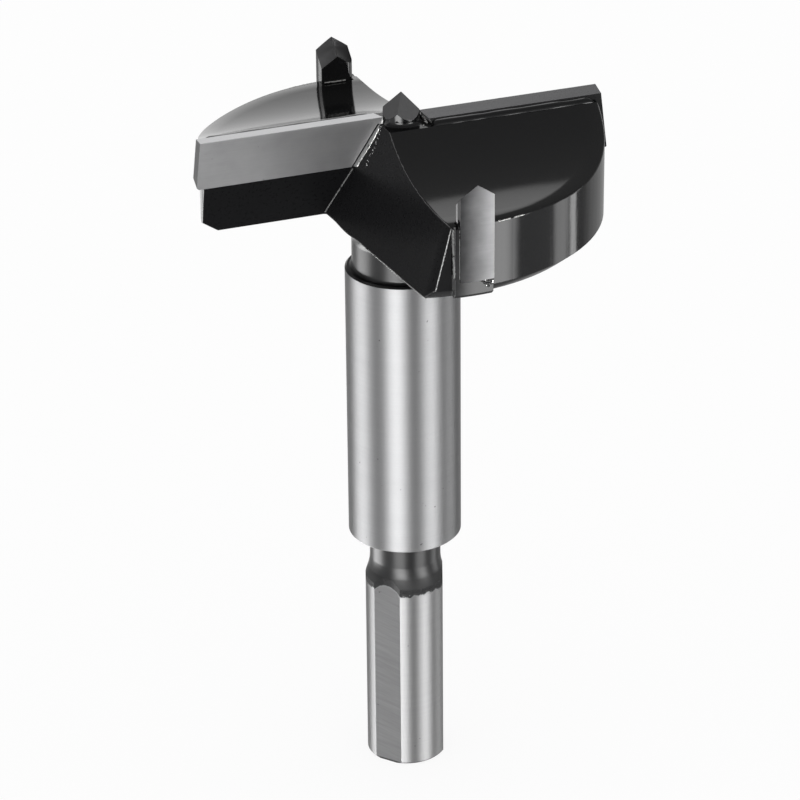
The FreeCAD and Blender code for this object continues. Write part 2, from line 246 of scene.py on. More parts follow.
def build_ragged_edge():
    group, given, result = start_group(
        "ragged_edge",
        [
            ("Position", "Vector", None),
            ("Height", "Float", mm(24.1)),
            ("Arch", "Float", mm(1.5)),
            ("Wander", "Float", mm(1.2)),
        ],
        [("Mask", "Float"), ("Lip", "Float")],
    )
    axes = split_axes(group, given["Position"])
    inside = math_node(group, "SUBTRACT", CHUCK_RADIUS**2, squared_radius(group, axes))
    share = math_node(group, "DIVIDE", inside, CHUCK_RADIUS**2 - FLAT_DISTANCE**2, clamp=True)
    arch = math_node(group, "MULTIPLY", share, given["Arch"])
    torn = noise_texture(group, given["Position"], 1400.0, 4.0, 0.7)
    wander = math_node(group, "MULTIPLY", math_node(group, "SUBTRACT", torn, 0.5), given["Wander"])
    line = math_node(group, "ADD", math_node(group, "ADD", given["Height"], arch), wander)
    above = math_node(group, "SUBTRACT", axes["Z"], line)
    feed(group, result["Mask"], math_node(group, "MULTIPLY", above, 9000.0, clamp=True))
    lip = math_node(group, "MINIMUM", math_node(group, "MAXIMUM", above, 0.0), LIP_REACH)
    feed(group, result["Lip"], math_node(group, "MULTIPLY", lip, LIP_SLOPE))
    return group


RAGGED_EDGE = build_ragged_edge()
print("group:", RAGGED_EDGE.name, [item.name for item in RAGGED_EDGE.interface.items_tree])

# %% [markdown]
# Wet enamel draws back from a sharp rim before it is baked, so the last two millimetres of every
# wing roll gently down. Only the light shows it: the rim reflects a darker part of the tent than
# the flat behind it. The roll is a height that falls with the square of the way into that band.

# %% Roll of the enamel at the rim
def build_rim_roll():
    group, given, result = start_group(
        "rim_roll",
        [
            ("Position", "Vector", None),
            ("Rim Radius", "Float", BODY_RADIUS),
            ("Band", "Float", mm(2.1)),
            ("Drop", "Float", mm(0.28)),
        ],
        [("Height", "Float")],
    )
    axes = split_axes(group, given["Position"])
    radius = math_node(group, "SQRT", squared_radius(group, axes))
    start = math_node(group, "SUBTRACT", given["Rim Radius"], given["Band"])
    past = math_node(group, "SUBTRACT", radius, start)
    share = math_node(group, "DIVIDE", past, given["Band"], clamp=True)
    squared = math_node(group, "MULTIPLY", share, share)
    fall = math_node(group, "MULTIPLY", squared, given["Drop"])
    feed(group, result["Height"], math_node(group, "MULTIPLY", fall, -1.0))
    return group


RIM_ROLL = build_rim_roll()
print("group:", RIM_ROLL.name, [item.name for item in RIM_ROLL.interface.items_tree])

# %% [markdown]
# ## Materials
# Every material starts in the same way, with one Principled shader and the place of each point on
# the object, so that the patterns stick to the bit. A few more helpers place a group, mix two
# colours or two numbers by a mask, and turn a height into a bend of the surface. The bend can
# carry a small rounding of the edges with it, which is how a file or a coat of enamel leaves them.
# A Mix node keeps sockets for numbers, vectors and colours in one row, so the three for colours
# are named by their place in it.

# %% Helpers for materials
COLOUR_A = 6
COLOUR_B = 7
COLOUR_OUT = 2


def start_material(name, roughness, metallic=0.0):
    material = bpy.data.materials.new(name)
    material.use_nodes = True
    tree = material.node_tree
    shader = tree.nodes["Principled BSDF"]
    shader.inputs["Roughness"].default_value = roughness
    shader.inputs["Metallic"].default_value = metallic
    place = node(tree, "TexCoord").outputs["Object"]
    return material, tree, shader, place


def place_group(tree, group, position, **values):
    made = node(tree, "Group", node_tree=group)
    feed(tree, made.inputs["Position"], position)
    for label, value in values.items():
        made.inputs[label.replace("_", " ")].default_value = value
    return made.outputs


def grey(level):
    return (level, level, level)


def blend_colours(tree, factor, low, high):
    made = node(tree, "Mix", data_type="RGBA")
    feed(tree, made.inputs["Factor"], factor)
    for index, colour in ((COLOUR_A, low), (COLOUR_B, high)):
        feed(tree, made.inputs[index], (*colour, 1.0) if isinstance(colour, tuple) else colour)
    return made.outputs[COLOUR_OUT]


def blend_numbers(tree, factor, low, high):
    made = node(tree, "MapRange")
    feed(tree, made.inputs["Value"], factor)
    feed(tree, made.inputs["To Min"], low)
    feed(tree, made.inputs["To Max"], high)
    return made.outputs[0]


def bump(tree, shader, height, strength, distance, edge=0.0):
    made = node(tree, "Bump")
    feed(tree, made.inputs["Strength"], strength)
    feed(tree, made.inputs["Distance"], distance)
    feed(tree, made.inputs["Height"], height)
    if edge:
        rounding = node(tree, "Bevel", samples=6)
        feed(tree, rounding.inputs["Radius"], edge)
        feed(tree, made.inputs["Normal"], rounding.outputs[0])
    feed(tree, shader.inputs["Normal"], made.outputs["Normal"])


# %% [markdown]
# ## Black enamel
# Most of the body is covered with a thick, glossy black enamel. It is a plastic-like film, not
# metal, so it stays a dielectric: nearly black, smooth, with only its swell in the normal. On the
# web and the walls beside the blades the heat of soldering has left it duller, so it mirrors less.
# On the rounded borders the base colour is painted greyer, a painted highlight that leaves them a
# soft grey line. The necks were sprayed from further away and dried rougher, and roughest right
# above the chuck.

# %% Black enamel, glossy, dulled, and painted greyer on the borders as a highlight
NECK_HAZE = 0.20
CHUCK_HAZE = 0.24
FULL_BLACK = ((0.0040, 0.0041, 0.0044), (0.0062, 0.0062, 0.0066))
# greyer base colour for the rounded borders: a painted highlight line
HIGHLIGHT_GREY = ((0.03, 0.03, 0.031), (0.085, 0.085, 0.086))


def below_mask(tree, position, top, steepness):
    low = math_node(tree, "SUBTRACT", top, split_axes(tree, position)["Z"])
    return math_node(tree, "MULTIPLY", low, steepness, clamp=True)


def make_enamel(name, ior, smooth, rough, tones):
    material, tree, shader, place = start_material(name, rough)
    shader.inputs["IOR"].default_value = ior
    swell = place_group(tree, ENAMEL_SWELL, place, Swell_Size=240.0, Grain_Size=2400.0)
    feed(tree, shader.inputs["Base Color"], blend_colours(tree, swell["Mottle"], *tones))
    sheen = blend_numbers(tree, swell["Mottle"], smooth, rough)
    necks = below_mask(tree, place, HEAD_FOOT, steepness=900.0)
    hazed = math_node(tree, "MULTIPLY_ADD", necks, NECK_HAZE, sheen)
    spent = below_mask(tree, place, COAT_END, steepness=700.0)
    hazed = math_node(tree, "MULTIPLY_ADD", spent, CHUCK_HAZE, hazed)
    feed(tree, shader.inputs["Roughness"], hazed)
    roll = place_group(tree, RIM_ROLL, place)["Height"]
    ripple = math_node(tree, "MULTIPLY", swell["Height"], mm(0.0125))
    bump(tree, shader, math_node(tree, "ADD", roll, ripple), 1.0, 1.0, edge=mm(0.12))
    return material


ENAMEL = make_enamel("black_enamel", 1.5, 0.06, 0.13, FULL_BLACK)
DULL_ENAMEL = make_enamel("dull_enamel", 1.13, 0.22, 0.36, FULL_BLACK)
EDGE_ENAMEL = make_enamel("edge_enamel", 1.5, 0.25, 0.40, HIGHLIGHT_GREY)
print("enamels:", [material.name for material in (ENAMEL, DULL_ENAMEL, EDGE_ENAMEL)])

# %% [markdown]
# ## Ground steel of the collar shank
# The collar shank was ground round between centres. The wheel's lines run round it, so they are
# squeezed along the height. Drawn as bumps they would be finer than a pixel, so anisotropy does
# their work: it smears the highlights along the shank as on the real one, and a quarter turn
# points it the right way. A fine grain breaks the highlights up.

# %% Ground collar shank
QUARTER_TURN = 0.25


def smear(shader, amount):
    shader.inputs["Anisotropic"].default_value = amount
    shader.inputs["Anisotropic Rotation"].default_value = QUARTER_TURN


def make_ground_shank():
    material, tree, shader, place = start_material("ground_shank", 0.52, 1.0)
    stretch = (90.0, 90.0, 5200.0)
    lines = place_group(tree, GRINDING_LINES, place, Stretch=stretch, Contrast=0.6)
    grain = place_group(tree, METAL_GRAIN, place, Grain_Size=4200.0, Pit_Size=1500.0)
    steel = blend_colours(tree, lines["Lines"], (0.385, 0.388, 0.395), grey(0.475))
    dust = math_node(tree, "MULTIPLY", grain["Grain"], 0.5)
    dusted = blend_colours(tree, dust, steel, (0.34, 0.34, 0.35))
    pitted = blend_colours(tree, grain["Pits"], dusted, grey(0.20))
    feed(tree, shader.inputs["Base Color"], pitted)
    feed(tree, shader.inputs["Roughness"], blend_numbers(tree, lines["Bundles"], 0.49, 0.56))
    smear(shader, 0.89)
    bump(tree, shader, grain["Grain"], 0.10, mm(0.02))
    return material


GROUND_SHANK = make_ground_shank()
print("steel:", GROUND_SHANK.name)

# %% [markdown]
# ## Chuck shank
# The thin shank is the same steel, with the enamel reaching down over its top. One shader shows
# both: the ragged-edge mask turns colour, metal and roughness from steel to enamel. Its three
# flats were milled, which left slanted, wavy marks. The marks climb round the axis like a screw,
# so a height that also grows with the bearing puts them on all three flats alike. Right at the
# foot the colour is darkened in a narrow band.

# %% Chuck shank with its ragged enamel edge
FOOT_LINE = mm(0.32)
CHUCK_ROUGHNESS = 0.50
COAT_ROUGHNESS = 0.52
COAT_COLOUR = (0.005, 0.005, 0.0055)


def climb(tree, place, pitch):
    axes = split_axes(tree, place)
    angle = math_node(tree, "ARCTAN2", axes["Y"], axes["X"])
    joined = node(tree, "CombineXYZ")
    feed(tree, joined.inputs["X"], axes["X"])
    feed(tree, joined.inputs["Y"], axes["Y"])
    feed(tree, joined.inputs["Z"], math_node(tree, "MULTIPLY_ADD", angle, pitch, axes["Z"]))
    return joined.outputs[0]


def make_chuck_shank(name, stretch, light, dark, contrast, wander, pitch=0.0):
    material, tree, shader, place = start_material(name, CHUCK_ROUGHNESS, 1.0)
    marks = climb(tree, place, pitch) if pitch else place
    lines = place_group(tree, GRINDING_LINES, marks, Stretch=stretch, Contrast=contrast)
    grain = place_group(tree, METAL_GRAIN, place, Grain_Size=3600.0, Pit_Size=1300.0)
    steel = blend_colours(tree, lines["Lines"], dark, light)
    pitted = blend_colours(tree, grain["Pits"], steel, grey(0.22))
    # the colour is darkened in a narrow band at the foot
    foot = below_mask(tree, place, FOOT_LINE, steepness=5000.0)
    darkened_foot = blend_colours(tree, foot, pitted, grey(0.10))
    edge = place_group(tree, RAGGED_EDGE, place, Height=mm(24.4), Arch=mm(1.05), Wander=wander)
    coat = edge["Mask"]
    gloss = blend_numbers(tree, coat, CHUCK_ROUGHNESS, COAT_ROUGHNESS)
    feed(tree, shader.inputs["Base Color"], blend_colours(tree, coat, darkened_foot, COAT_COLOUR))
    feed(tree, shader.inputs["Metallic"], blend_numbers(tree, coat, 1.0, 0.0))
    feed(tree, shader.inputs["Roughness"], gloss)
    smear(shader, 0.85)
    uneven = math_node(tree, "MULTIPLY_ADD", grain["Grain"], mm(0.003), edge["Lip"])
    bump(tree, shader, uneven, 1.0, 1.0, edge=mm(0.08))
    return material


CHUCK_ROUND = make_chuck_shank(
    "chuck_round",
    stretch=(90.0, 90.0, 4200.0),
    light=grey(0.42),
    dark=(0.34, 0.34, 0.345),
    contrast=0.6,
    wander=mm(2.2),
)
CHUCK_FLAT = make_chuck_shank(
    "chuck_flat",
    stretch=(160.0, 160.0, 2600.0),
    light=(0.47, 0.47, 0.475),
    dark=(0.33, 0.33, 0.335),
    contrast=1.4,
    wander=mm(0.4),
    pitch=mm(0.9),
)
print("chuck shank:", CHUCK_ROUND.name, "and", CHUCK_FLAT.name)

# %% [markdown]
# ## Carbide
# Tungsten carbide is a darker, greyer metal than steel. The blades and the spurs were ground to
# size after brazing, and the wheel's lines show on each ground face. One recipe covers them all:
# lines and bundles from the wheel, scuffs that lighten the metal, pits that darken it. On the
# spurs it also paints shade: one side of the outer face is painted darker, and the painted shade
# thins out across it and is broken by blotches.

# %% A recipe for a ground face
# painted shade: 1 where the colour is kept, 0 where one side of a spur is painted darker
def unshaded_share(tree, place):
    axes = split_axes(tree, place)
    across = math_node(tree, "MULTIPLY", axes["X"], axes["Y"])
    leaning = math_node(tree, "MULTIPLY_ADD", across, -9500.0, 0.30)
    blotch = noise_texture(tree, place, 500.0)
    return math_node(tree, "MULTIPLY_ADD", blotch, 0.4, leaning, clamp=True)


def make_ground_face(name, stretch, light, dark, rough, anisotropy=0.0, scuffs=0.0, painted_shade=None):
    material, tree, shader, place = start_material(name, rough, 1.0)
    lines = place_group(tree, GRINDING_LINES, place, Stretch=stretch, Contrast=1.0)
    sizes = {"Grain_Size": 190.0, "Pit_Size": 1900.0, "Clean_Share": 0.78}
    grain = place_group(tree, METAL_GRAIN, place, **sizes)
    colour = blend_colours(tree, lines["Lines"], dark, light)
    # paint shade over one side of the face, fading across it
    if painted_shade:
        colour = blend_colours(tree, unshaded_share(tree, place), painted_shade, colour)
    rubbed = math_node(tree, "MULTIPLY", grain["Grain"], scuffs)
    scuffed = blend_colours(tree, rubbed, colour, grey(0.66))
    pitted = blend_colours(tree, grain["Pits"], scuffed, grey(0.25))
    feed(tree, shader.inputs["Base Color"], pitted)
    worn = blend_numbers(tree, lines["Bundles"], 0.88 * rough, 1.12 * rough)
    feed(tree, shader.inputs["Roughness"], worn)
    smear(shader, anisotropy)
    bump(tree, shader, lines["Lines"], 0.12, mm(0.01), edge=mm(0.05))
    return material


# %% [markdown]
# The recipe is used five times. The leading face of a blade is scuffed by chips of wood, and the
# relief face on top is the brightest. The ground outer ends of the blades are painted nearly
# black, a painted shade. The facets of the steel point were ground on the same wheel, so the
# recipe serves them too.

# %% Carbide for blades and spurs, and steel for the facets of the centre point
BLADE_CARBIDE = make_ground_face(
    "blade_carbide",
    stretch=(200.0, 6000.0, 6000.0),
    light=(0.37, 0.37, 0.378),
    dark=(0.30, 0.30, 0.307),
    rough=0.57,
    scuffs=0.55,
)
RELIEF_CARBIDE = make_ground_face(
    "relief_carbide",
    stretch=(200.0, 6000.0, 6000.0),
    light=(0.48, 0.48, 0.49),
    dark=(0.39, 0.39, 0.40),
    rough=0.18,
    scuffs=0.1,
)
# painted shade: the ground outer ends of the blades painted nearly black
END_CARBIDE = make_ground_face(
    "end_carbide",
    stretch=(900.0, 900.0, 4000.0),
    light=(0.12, 0.12, 0.122),
    dark=(0.08, 0.08, 0.081),
    rough=0.42,
)
SPUR_CARBIDE = make_ground_face(
    "spur_carbide",
    stretch=(200.0, 200.0, 3600.0),
    light=(0.38, 0.38, 0.385),
    dark=(0.30, 0.30, 0.305),
    rough=0.50,
    anisotropy=0.89,
    # the colour of the painted shade on one side of each spur
    painted_shade=(0.07, 0.07, 0.072),
)
POINT_STEEL = make_ground_face(
    "point_steel",
    stretch=(3000.0, 3000.0, 900.0),
    light=(0.38, 0.38, 0.385),
    dark=(0.28, 0.28, 0.285),
    rough=0.30,
)
GROUND_FACES = [BLADE_CARBIDE, RELIEF_CARBIDE, END_CARBIDE, SPUR_CARBIDE, POINT_STEEL]
print("ground faces:", [material.name for material in GROUND_FACES])

# %% [markdown]
# ## Solder
# Solder is soft and silvery where it flowed, with a rippled skin and dark specks of burnt flux.
# A file left it paler and flatter in places, and it turned grey where it burnt. The grain of the
# ground metal, set coarser and with more pits, gives all three.

# %% Silver solder, bright where it flowed, paler where it was filed, grey where it burnt
def make_solder(name, dark, light, smooth, rough):
    material, tree, shader, place = start_material(name, rough, 1.0)
    sizes = {"Grain_Size": 2600.0, "Pit_Size": 2100.0, "Clean_Share": 0.66}
    grain = place_group(tree, METAL_GRAIN, place, **sizes)
    bright = blend_colours(tree, grain["Grain"], dark, light)
    specked = blend_colours(tree, grain["Pits"], bright, grey(0.03))
    feed(tree, shader.inputs["Base Color"], specked)
    feed(tree, shader.inputs["Roughness"], blend_numbers(tree, grain["Grain"], smooth, rough))
    bump(tree, shader, grain["Grain"], 0.5, mm(0.06))
    return material


SOLDER = make_solder("silver_solder", (0.50, 0.50, 0.49), (0.85, 0.84, 0.82), 0.2, 0.42)
FILED_SOLDER = make_solder("filed_solder", grey(0.24), (0.50, 0.50, 0.495), 0.42, 0.60)
GREY_SOLDER = make_solder("grey_solder", grey(0.07), (0.22, 0.22, 0.218), 0.48, 0.66)
print("solders:", [material.name for material in (SOLDER, FILED_SOLDER, GREY_SOLDER)])

# %% [markdown]
# ## Which face gets which finish
# The body is one solid with several finishes. Each of its faces is asked where it lies and which
# way it looks, and gets the matching material slot. The mesh itself stays as the solid has it.
# A hair's breadth is allowed on every height, because the corners of a mesh are rounded numbers.

# %% Sort the faces of the body
HAIR = mm(0.01)
MARGIN = mm(0.1)


def sort_faces(piece, finishes, choose):
    mesh = piece.data
    mesh.materials.clear()
    for finish in finishes:
        mesh.materials.append(finish)
    counts = [0] * len(finishes)
    for face in mesh.polygons:
        face.material_index = finishes.index(choose(face))
        counts[face.material_index] += 1
    print(piece.name, dict(zip([finish.name for finish in finishes], counts)))


def body_finish(face):
    corners = [body.data.vertices[index].co for index in face.vertices]
    low = min(corner.z for corner in corners)
    high = max(corner.z for corner in corners)
    near = min(math.hypot(corner.x, corner.y) for corner in corners)
    slope = face.normal.z
    reach = face.center.x * face.normal.x + face.center.y * face.normal.y
    on_flat = abs(slope) < 0.02 and abs(reach - FLAT_DISTANCE) < HAIR
    on_collar = low > SHANK_FOOT - HAIR and high < SHANK_TOP + HAIR
    in_gullet = low > HEAD_FOOT - MARGIN and high < LAND + MARGIN and near < GULLET_REACH
    if on_collar and near > SHANK_RADIUS - mm(0.3):
        return ENAMEL if slope > 0.3 else GROUND_SHANK
    if on_flat and high < COAT_END:
        return CHUCK_FLAT
    if high < CHUCK_TOP + HAIR:
        return CHUCK_ROUND
    if low > POST_TOP and slope > 0.3:
        return POINT_STEEL
    if in_gullet and abs(slope) < 0.5:
        return DULL_ENAMEL
    # the rounded borders get the greyer enamel, a painted highlight
    if in_gullet and low > RIM_FOOT and 0.5 < slope < 0.86:
        return EDGE_ENAMEL
    return ENAMEL


BODY_FINISHES = [
    ENAMEL, GROUND_SHANK, CHUCK_ROUND, CHUCK_FLAT, POINT_STEEL, DULL_ENAMEL, EDGE_ENAMEL,
]
sort_faces(body, BODY_FINISHES, body_finish)

# %% [markdown]
# A blade shows four skins: the ground leading face, the bright relief face on top, the dark outer
# end, and enamel wherever it looks back over the land. A spur is bare where the wheel reached it,
# outside and on its pointed top, and enamelled on the sides that stand in the slot.

# %% Sort the faces of the blades and spurs
def blade_finish(face):
    side = -1 if face.center.x < 0 else 1
    back = Vector((0, -side, 0))
    on_top = face.normal.z > 0.9
    at_end = side * face.normal.x > 0.8
    leading = face.normal.dot(back) < 0.3 and face.normal.z > -0.5
    if on_top:
        return RELIEF_CARBIDE
    if at_end:
        return END_CARBIDE
    return BLADE_CARBIDE if leading else ENAMEL


def spur_finish(face):
    away = Vector((face.center.x, face.center.y, 0)).normalized()
    ground = face.normal.dot(away) > 0.5 or face.normal.z > 0.3
    return SPUR_CARBIDE if ground else ENAMEL


for blade in blades:
    sort_faces(blade, [BLADE_CARBIDE, ENAMEL, RELIEF_CARBIDE, END_CARBIDE], blade_finish)
for spur in spurs:
    sort_faces(spur, [SPUR_CARBIDE, ENAMEL], spur_finish)

# %% [markdown]
# ## Beads of solder and enamel
# The carbide was soldered on by hand, so thin seams and drops of silver stand proud along its
# joints, and the enamel, sprayed later, gathered in the corners. The bit looks the same after
# half a turn, so each detail is made once and laid twice. Nothing may stand out of the circle
# that the spurs cut, so a point that would is pulled back onto it. Every piece ends in the same
# helper, which smooths it, gives it its finish and hangs it on the bit.

# %% Helpers for every laid piece
LAID = []


def lay_down(name, shape, finish):
    bmesh.ops.recalc_face_normals(shape, faces=shape.faces)
    mesh = bpy.data.meshes.new(name)
    shape.to_mesh(mesh)
    shape.free()
    for face in mesh.polygons:
        face.use_smooth = True
    mesh.materials.append(finish)
    piece = bpy.data.objects.new(name, mesh)
    bpy.context.scene.collection.objects.link(piece)
    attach(piece, "root")
    LAID.append(name)


def half_turn(point, turned):
    return Vector((-point.x, -point.y, point.z)) if turned else point


def inside_circle(point):
    out = math.hypot(point.x, point.y)
    if out > CUTTING_CIRCLE:
        point.x *= CUTTING_CIRCLE / out
        point.y *= CUTTING_CIRCLE / out
    return point


def nose_share(way_in, least):
    return math.sqrt(max(least, 1.0 - (1.0 - min(1.0, way_in)) ** 2))


def join_rows(shape, rows, closed=True):
    count = len(rows[0])
    for row, following in zip(rows, rows[1:]):
        for corner in range(count if closed else count - 1):
            after = (corner + 1) % count
            shape.faces.new((row[corner], row[after], following[after], following[corner]))
    shape.faces.new(rows[0])
    shape.faces.new(rows[-1])


# %% [markdown]
# A seam is a lumpy tube. A curve with a round profile would be quicker, but it stays smooth, and
# solder never is. So rings of points are set along a line, each ring pushed in and out by a
# noise, with a round nose at both ends.

# %% A lumpy seam along a line
RING_SIDES = 9
SEAM_LUMPS = 3500.0


def walk(line, step):
    corners = [mm(*point) for point in line]
    stations = []
    for start, end in zip(corners, corners[1:]):
        pieces = max(1, round((end - start).length / mm(step)))
        stations += [start.lerp(end, index / pieces) for index in range(pieces)]
    return stations + [corners[-1]]


def lay_seam(name, line, radius, finish, lumps, turned):
    stations = walk(line, 0.6 * radius)
    last = len(stations) - 1
    whole = sum((after - before).length for before, after in zip(stations, stations[1:]))
    shape = bmesh.new()
    rings = []
    gone = 0.0
    for index, centre in enumerate(stations):
        before = stations[max(index - 1, 0)]
        ahead = (stations[min(index + 1, last)] - before).normalized()
        side = ahead.orthogonal().normalized()
        rise = ahead.cross(side)
        gone += (centre - before).length
        nose = nose_share(min(gone, whole - gone) / mm(radius), 0.02)
        ring = []
        for corner in range(RING_SIDES):
            angle = 2.0 * math.pi * corner / RING_SIDES
            way = math.cos(angle) * side + math.sin(angle) * rise
            lump = 1.0 + lumps * noise.noise((centre + mm(radius) * way) * SEAM_LUMPS)
            skin = inside_circle(centre + mm(radius) * nose * lump * way)
            ring.append(shape.verts.new(half_turn(skin, turned)))
        rings.append(ring)
    join_rows(shape, rings)
    lay_down(name, shape, finish)


# %% [markdown]
# Where solder wetted a whole strip of metal it lies as a thin skin. It is stretched between two
# lines, a few points across and many along, and its height wavers with a noise. Its two borders
# dip under the surface, so that no gap shows.

# %% A thin skin between two lines
SKIN_STEPS = 60
SKIN_SHARES = (0.0, 0.25, 0.5, 0.75, 1.0)
SKIN_LUMPS = 2600.0


def lay_skin(name, first, second, outward, thickness, finish, turned):
    rise = mm(thickness) * Vector(outward).normalized()
    shape = bmesh.new()
    rows = []
    for index in range(SKIN_STEPS + 1):
        ends = []
        for line in (first, second):
            place = index / SKIN_STEPS * (len(line) - 1)
            before = min(int(place), len(line) - 2)
            ends.append(mm(*line[before]).lerp(mm(*line[before + 1]), place - before))
        row = [ends[0] - rise]
        for share in SKIN_SHARES:
            point = ends[0].lerp(ends[1], share)
            row.append(point + rise * (0.6 + 0.5 * noise.noise(point * SKIN_LUMPS)))
        row.append(ends[1] - rise)
        rows.append([shape.verts.new(half_turn(point, turned)) for point in row])
    join_rows(shape, rows)
    lay_down(name, shape, finish)


# %% [markdown]
# Spatter is a handful of drops. Each is a small ball that the same kind of noise dents. A list
# says where the solder spat, and round each of its places two smaller drops fall by chance. The
# chance has a seed, so they fall the same way every time.

# %% Drops that lie scattered
DROP_LUMPS = 4200.0
DROP_LEAN = 0.35
DROP_SHARES = (0.45, 0.85)


def lay_drops(name, drops, finish, turned):
    shape = bmesh.new()
    for x, y, z, size in drops:
        ball = bmesh.ops.create_icosphere(shape, subdivisions=2, radius=mm(size))["verts"]
        for vert in ball:
            lump = 1.0 + 0.45 * noise.noise((vert.co + mm(x, y, z)) * DROP_LUMPS)
            vert.co = half_turn(inside_circle(vert.co * lump + mm(x, y, z)), turned)
    lay_down(name, shape, finish)


def scatter(drops, seed, spread):
    chance = random.Random(seed)
    moved = []
    for x, y, z, size in drops:
        for _ in range(2):
            along = chance.uniform(-1, 1) * spread
            up = chance.uniform(-1, 1) * spread
            smaller = size * chance.uniform(*DROP_SHARES)
            moved.append((x + DROP_LEAN * up, y + along, z + up, smaller))
    return moved


# %% [markdown]
# On the land behind each blade the enamel stands in a low ridge against the carbide. Its steep
# front catches the tall lamp strip as one thin bright line. The ridge is a drawn outline, back
# and height in millimetres, that is carried along the blade with a slow wave in its height and
# width. Its underside lies in the steel, so it is left open.

# %% Enamel ridge behind each blade
RIDGE_STEPS = 90
RIDGE_NOSE = 0.8
RIDGE_FRONT = -2.05
RIDGE_BASE = 86.2
RIDGE_OUTLINE = [
    (-2.05, 86.20), (-2.06, 86.72), (-2.30, 86.76), (-2.60, 86.75), (-2.84, 86.70),
    (-2.98, 86.62), (-3.06, 86.52), (-3.10, 86.42), (-3.12, 86.32), (-3.12, 86.20),
]


def lay_ridge(name, start, end, turned):
    shape = bmesh.new()
    rows = []
    for index in range(RIDGE_STEPS + 1):
        x = start + (end - start) * index / RIDGE_STEPS
        slow = noise.noise(Vector((0.45 * x, 3.1, 0.7)))
        nose = nose_share(min(x - start, end - x) / RIDGE_NOSE, 0.05)
        row = []
        for y, z in RIDGE_OUTLINE:
            tall = RIDGE_BASE + (z - RIDGE_BASE) * nose * (1.0 + 0.14 * slow)
            wide = RIDGE_FRONT + (y - RIDGE_FRONT) * (1.0 + 0.08 * slow)
            row.append(shape.verts.new(half_turn(mm(x, wide, tall), turned)))
        rows.append(row)
    join_rows(shape, rows, closed=False)
    lay_down(name, shape, ENAMEL)


for side, turned in (("right", False), ("left", True)):
    lay_ridge(f"enamel_ridge_{side}", start=2.95, end=23.5, turned=turned)
print("laid:", LAID)

# %% [markdown]
# Each blade's inner end was soldered against the web. A bright seam follows the end down, a thin
# filed skin fills the step between seam and blade, and ragged drops lie beside it. Below the
# blade the corner goes on as a thin grey line, and a few round drops sit at the foot of the
# centre post. The lines are measured along the joints of the solids, in millimetres.

# %% Seams and drops at the inner ends of the blades
SEAM = [
    (-2.36, -0.28, 86.30), (-2.93, -0.28, 85.72), (-3.35, -0.01, 84.65), (-3.80, 0.38, 83.54),
    (-4.22, 0.81, 82.48), (-4.67, 1.35, 81.37), (-5.02, 1.66, 80.45),
]
CORNER = [
    (-5.26, 2.46, 80.02), (-5.90, 3.08, 78.55), (-6.55, 3.71, 77.05), (-7.20, 4.33, 75.55),
    (-8.02, 5.10, 73.65),
]
BLADE_END = [
    (-2.43, -0.20, 87.12), (-2.91, 0.28, 85.98), (-3.38, 0.75, 84.82), (-3.85, 1.22, 83.66),
    (-4.32, 1.69, 82.50), (-4.79, 2.16, 81.34), (-5.25, 2.62, 80.22),
]
DROPS = [
    (-2.76, -0.64, 86.06, 0.11), (-2.90, -0.62, 85.78, 0.09), (-2.99, -0.66, 85.53, 0.13),
    (-3.10, -0.80, 85.20, 0.08), (-3.20, -0.89, 84.95, 0.14), (-3.44, -0.84, 84.33, 0.12),
    (-3.55, -0.92, 84.05, 0.08), (-3.64, -0.85, 83.79, 0.15), (-3.85, -0.55, 83.26, 0.12),
    (-3.93, -0.70, 82.95, 0.08), (-4.07, -0.45, 82.67, 0.14), (-4.31, -0.39, 82.05, 0.11),
    (-4.53, -0.44, 81.46, 0.17),
]
NOSE_DROPS = [
    (-2.66, 0.25, 86.52, 0.20), (-2.70, 0.55, 86.42, 0.24), (-2.66, 0.95, 86.38, 0.21),
    (-2.60, 1.35, 86.34, 0.20), (-2.57, 1.75, 86.32, 0.15), (-1.86, 2.50, 86.32, 0.12),
]
SKIN_OUTWARD = (-0.94, -0.05, 0.35)
SILVER_SPATTER = scatter(DROPS, seed=5, spread=0.16)
FLUX_SPATTER = scatter(DROPS, seed=9, spread=0.20)
# a seam's numbers are its radius in millimetres and how lumpy it is, a skin's its thickness
for side, turned in (("left", False), ("right", True)):
    lay_seam(f"solder_seam_{side}", SEAM, 0.085, SOLDER, 0.5, turned)
    lay_skin(f"solder_skin_{side}", BLADE_END, SEAM, SKIN_OUTWARD, 0.05, FILED_SOLDER, turned)
    lay_seam(f"web_corner_{side}", CORNER, 0.11, GREY_SOLDER, 0.3, turned)
    lay_drops(f"solder_drops_{side}", SILVER_SPATTER, FILED_SOLDER, turned)
    lay_drops(f"flux_specks_{side}", FLUX_SPATTER, ENAMEL, turned)
    lay_drops(f"solder_nose_{side}", NOSE_DROPS, SOLDER, turned)
print("laid:", LAID[2:])

# %% [markdown]
# Each spur sits in a slot in the rim. The slot's edge is worn bright, a broad ragged seam fills
# the slot beside the spur, a fine one follows the carbide, and a bright bead closes the joint
# behind the spur's foot. The web's lower edge is worn to a thin line. The rim beside the spur has
# lost a few chips of enamel, and burnt flux with a few silver drops lies under the spur.

